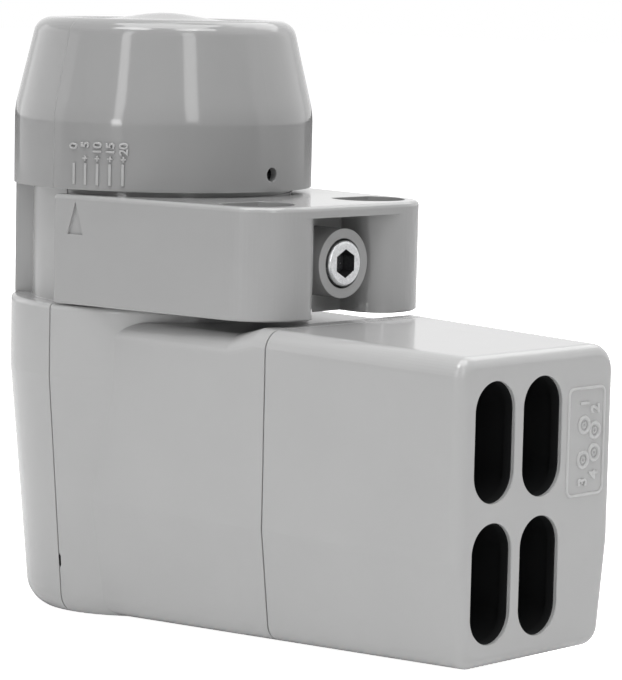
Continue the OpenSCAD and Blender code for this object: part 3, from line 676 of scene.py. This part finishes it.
def slot_places():
    """Middles of the four cable slots in the y-z plane, from the ports behind them."""
    low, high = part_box("f_port_insulators")
    near, far = low[1] + INSULATOR_RADIUS, high[1] - INSULATOR_RADIUS
    foot, head = low[2] + INSULATOR_RADIUS, high[2] - INSULATOR_RADIUS
    return [(near, head), (far, head), (near, foot), (far, foot)]


def slot_lips():
    """Rounded lip that the tool's draft leaves round each slot, and behind it a black sleeve of
    painted shade.
    """
    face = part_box("weather_cover")[1][0]
    for number, (y, z) in enumerate(slot_places(), start=1):
        bm = bmesh.new()
        outline = stadium(face - LIP_DEPTH, y, z, SLOT_WIDTH + LIP_MARGIN,
                          SLOT_HEIGHT + LIP_MARGIN)
        tube(bm, outline, LIP_RADIUS, sides=10)
        piece("slot_lip_%d" % number, bm, moulded_asa, "cover")
        bm = bmesh.new()
        rings = []
        for depth, inset in SHADE_SLEEVE_SECTION:
            outline = stadium(face - depth * MM, y, z, SLOT_WIDTH - inset * MM,
                              SLOT_HEIGHT - inset * MM)
            rings.append([bm.verts.new(p) for p in outline])
        skin(bm, rings)
        piece("slot_sleeve_%d" % number, bm, painted_shade_black, "cover")


def port_threads():
    """Thread of each cable port, as a ridge that winds along it."""
    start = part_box("port_nuts")[1][0] + THREAD_START
    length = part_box("f_port_shells")[1][0] - THREAD_RUNOUT - start
    turns = length / THREAD_PITCH
    steps = int(turns * STEPS_PER_TURN)
    for number, (y, z) in enumerate(slot_places(), start=1):
        path = []
        for k in range(steps + 1):
            t = 2 * math.pi * turns * k / steps
            path.append(Vector((start + length * k / steps, y + THREAD_RADIUS * math.cos(t),
                                z + THREAD_RADIUS * math.sin(t))))
        bm = bmesh.new()
        tube(bm, path, THREAD_RIDGE, sides=6, closed=False)
        piece("port_thread_%d" % number, bm, bright_zinc, "housing")


slot_lips()
port_threads()


# ---------------------------------------------------------------- screw socket, seam notch

SOCKET_REACH = 2.85 * MM                     # from the middle to a corner
# Section of the socket: the height over the screw's face in mm, and the share of its reach.
SOCKET_SECTION = ((0.02, 1.0), (-0.25, 0.97), (-3.1, 0.97))
SOCKET_TIP = -3.6                            # of the drill point, in mm
# The notch: its outline in mm across and along the seam, and the height over the surface
# in mm with the share of that outline.
NOTCH_OUTLINE = ((0, 1.5), (0.28, 0.9), (0.28, -0.9), (0, -1.5), (-0.28, -0.9), (-0.28, 0.9))
NOTCH_SECTION = ((-0.3, 0.7), (0.02, 1.0))


def screw_socket():
    """Hexagon socket of the clamp screw: a dark cup with a drill-point floor, painted shade for
    the socket's depth.
    """
    low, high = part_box("clamp_screw")
    face = high[0]
    _, y, z = middle_of((low, high))
    bm = bmesh.new()
    rings = []
    for height, share in SOCKET_SECTION:
        corners = arc(face + height * MM, y, z, SOCKET_REACH * share, 30, 360, 6)[:-1]
        rings.append([bm.verts.new(c) for c in corners])
    skin(bm, rings)
    tip = bm.verts.new((face + SOCKET_TIP * MM, y, z))
    bottom = rings[-1]
    for k in range(len(bottom)):
        bm.faces.new((bottom[k], bottom[(k + 1) % len(bottom)], tip))
    piece("screw_socket", bm, painted_shade_steel, "screw", smooth=False)


def seam_notch():
    """Small pry notch in the seam of the housing halves: a black, pointed, bevelled sheet, almost
    flush, in painted shade.
    """
    place, normal = place_on(tree_of("rear_shell", "main_housing"), POINTS["seam_notch"])
    across = Vector((0, 0, 1)).cross(normal).normalized()
    up = normal.cross(across)
    bm = bmesh.new()
    rings = [[bm.verts.new(place + (across * a * share + up * b * share + normal * height) * MM)
              for a, b in NOTCH_OUTLINE] for height, share in NOTCH_SECTION]
    skin(bm, rings, ends=True)
    piece("seam_notch", bm, painted_shade_black, "housing", smooth=False)


screw_socket()
seam_notch()


# ---------------------------------------------------------------- studio

FLOOR_REACH = 6.0                            # half the floor's side, in metres
STUDIO_CENTRE = Vector((20, 0, 70)) * MM     # what the panels face
CAMERA_SIDE = math.degrees(CAMERA_AZIMUTH)
AMBIENT = 0.12                               # the surroundings' even light on the object
# Soft panels: degrees round from the camera and up from level; then, in metres, distance
# from the object, width and height; then radiance.
PANELS = {
    "top_bank": (0, 88, 1.3, 1.0, 1.0, 4.4),
    "left_bank": (-112, 8, 1.4, 1.7, 0.9, 0.74),
    "right_bank": (112, 8, 1.4, 1.7, 0.9, 0.46),
    "right_high_bank": (112, 45, 1.4, 1.5, 0.9, 0.42),
    "far_high_bank": (150, 45, 1.4, 0.9, 0.8, 1.5),
    "left_strip": (-33, 27, 1.2, 0.15, 0.88, 4.0),
    "right_strip": (24, 27, 1.2, 0.21, 0.95, 3.6),
    "left_lamp": (-46, 62, 1.2, 0.5, 0.2, 8.0),
    "right_lamp": (42, 62, 1.2, 0.6, 0.2, 6.0),
    "left_low_lamp": (-34, 3, 1.2, 0.16, 0.13, 9.0),
}


def floor():
    """White paper under the object. The camera sees it plain white, and the gloss sees it lit."""
    r = FLOOR_REACH
    corners = [Vector((x, y, CAD_BOX[0][2])) for x, y in ((-r, -r), (r, -r), (r, r), (-r, r))]
    bm = bmesh.new()
    bm.faces.new([bm.verts.new(c) for c in corners])
    mesh = bpy.data.meshes.new("floor")
    bm.to_mesh(mesh)
    bm.free()
    sheet = bpy.data.objects.new("floor", mesh)
    bpy.context.collection.objects.link(sheet)
    material, tree = new_material("white_paper_sweep")
    path = add(tree, "ShaderNodeLightPath")
    paper = add(tree, "ShaderNodeBsdfDiffuse", {"Color": linear("#fbfbfb")})
    glow = add(tree, "ShaderNodeEmission", {"Color": WHITE},
               {"Strength": path.outputs["Is Camera Ray"]})
    both = add(tree, "ShaderNodeAddShader", {},
               {0: paper.outputs["BSDF"], 1: glow.outputs["Emission"]})
    add(tree, "ShaderNodeOutputMaterial", {}, {"Surface": both.outputs["Shader"]})
    mesh.materials.append(material)


def world():
    """Surroundings: white to the camera, the gloss and clear pieces, and a weak, even light."""
    surroundings = bpy.data.worlds.new("white_studio")
    surroundings.use_nodes = True
    tree = surroundings.node_tree
    tree.nodes.clear()
    path = add(tree, "ShaderNodeLightPath")
    seen = path.outputs["Is Camera Ray"]
    for kind in ("Is Glossy Ray", "Is Transmission Ray"):
        either = add(tree, "ShaderNodeMath", {"operation": "MAXIMUM"},
                     {0: seen, 1: path.outputs[kind]})
        seen = either.outputs["Value"]
    level = add(tree, "ShaderNodeMapRange", {"To Min": AMBIENT, "To Max": 1.0}, {"Value": seen})
    light = add(tree, "ShaderNodeBackground", {"Color": WHITE},
                {"Strength": level.outputs["Result"]})
    add(tree, "ShaderNodeOutputWorld", {}, {"Surface": light.outputs["Background"]})
    bpy.context.scene.world = surroundings


def panel(name, azimuth, elevation, distance, width, height, radiance):
    """Soft panel that faces the object. Azimuth runs as the camera's does, from -Y to +X."""
    a, e = math.radians(azimuth), math.radians(elevation)
    away = Vector((math.sin(a) * math.cos(e), -math.cos(a) * math.cos(e), math.sin(e)))
    data = bpy.data.lights.new(name, "AREA")
    data.shape = "RECTANGLE"
    data.size = width
    data.size_y = height
    data.energy = radiance * math.pi * width * height
    lamp = bpy.data.objects.new(name, data)
    lamp.rotation_euler = (-away).to_track_quat("-Z", "Y").to_euler()
    lamp.location = STUDIO_CENTRE + away * distance
    bpy.context.collection.objects.link(lamp)


floor()
world()
for name, (round_by, *rest) in PANELS.items():
    panel(name, CAMERA_SIDE + round_by, *rest)

bpy.context.scene.view_settings.view_transform = "Standard"


# ---------------------------------------------------------------- image points of the pieces

CARRIERS = {
    "zero_numeral": "skew_numeral_0",
    "twenty_numeral": "skew_numeral_20",
    "seam_notch": "seam_notch",
}


def write_points():
    """Works out where the features and carriers show in the image, and the legend frame's box;
    nothing is kept.
    """
    bpy.context.view_layer.update()
    for name in FEATURES:
        near = feature_places(name)
        image_of(middle_of(near)) if near else (None, None)
    for name, carrier in CARRIERS.items():
        vertices = bpy.data.objects[carrier].data.vertices
        image_of(middle_of([v.co for v in vertices]))
    low, high = box_of([v.co for v in bpy.data.objects["legend_frame"].data.vertices])


write_points()
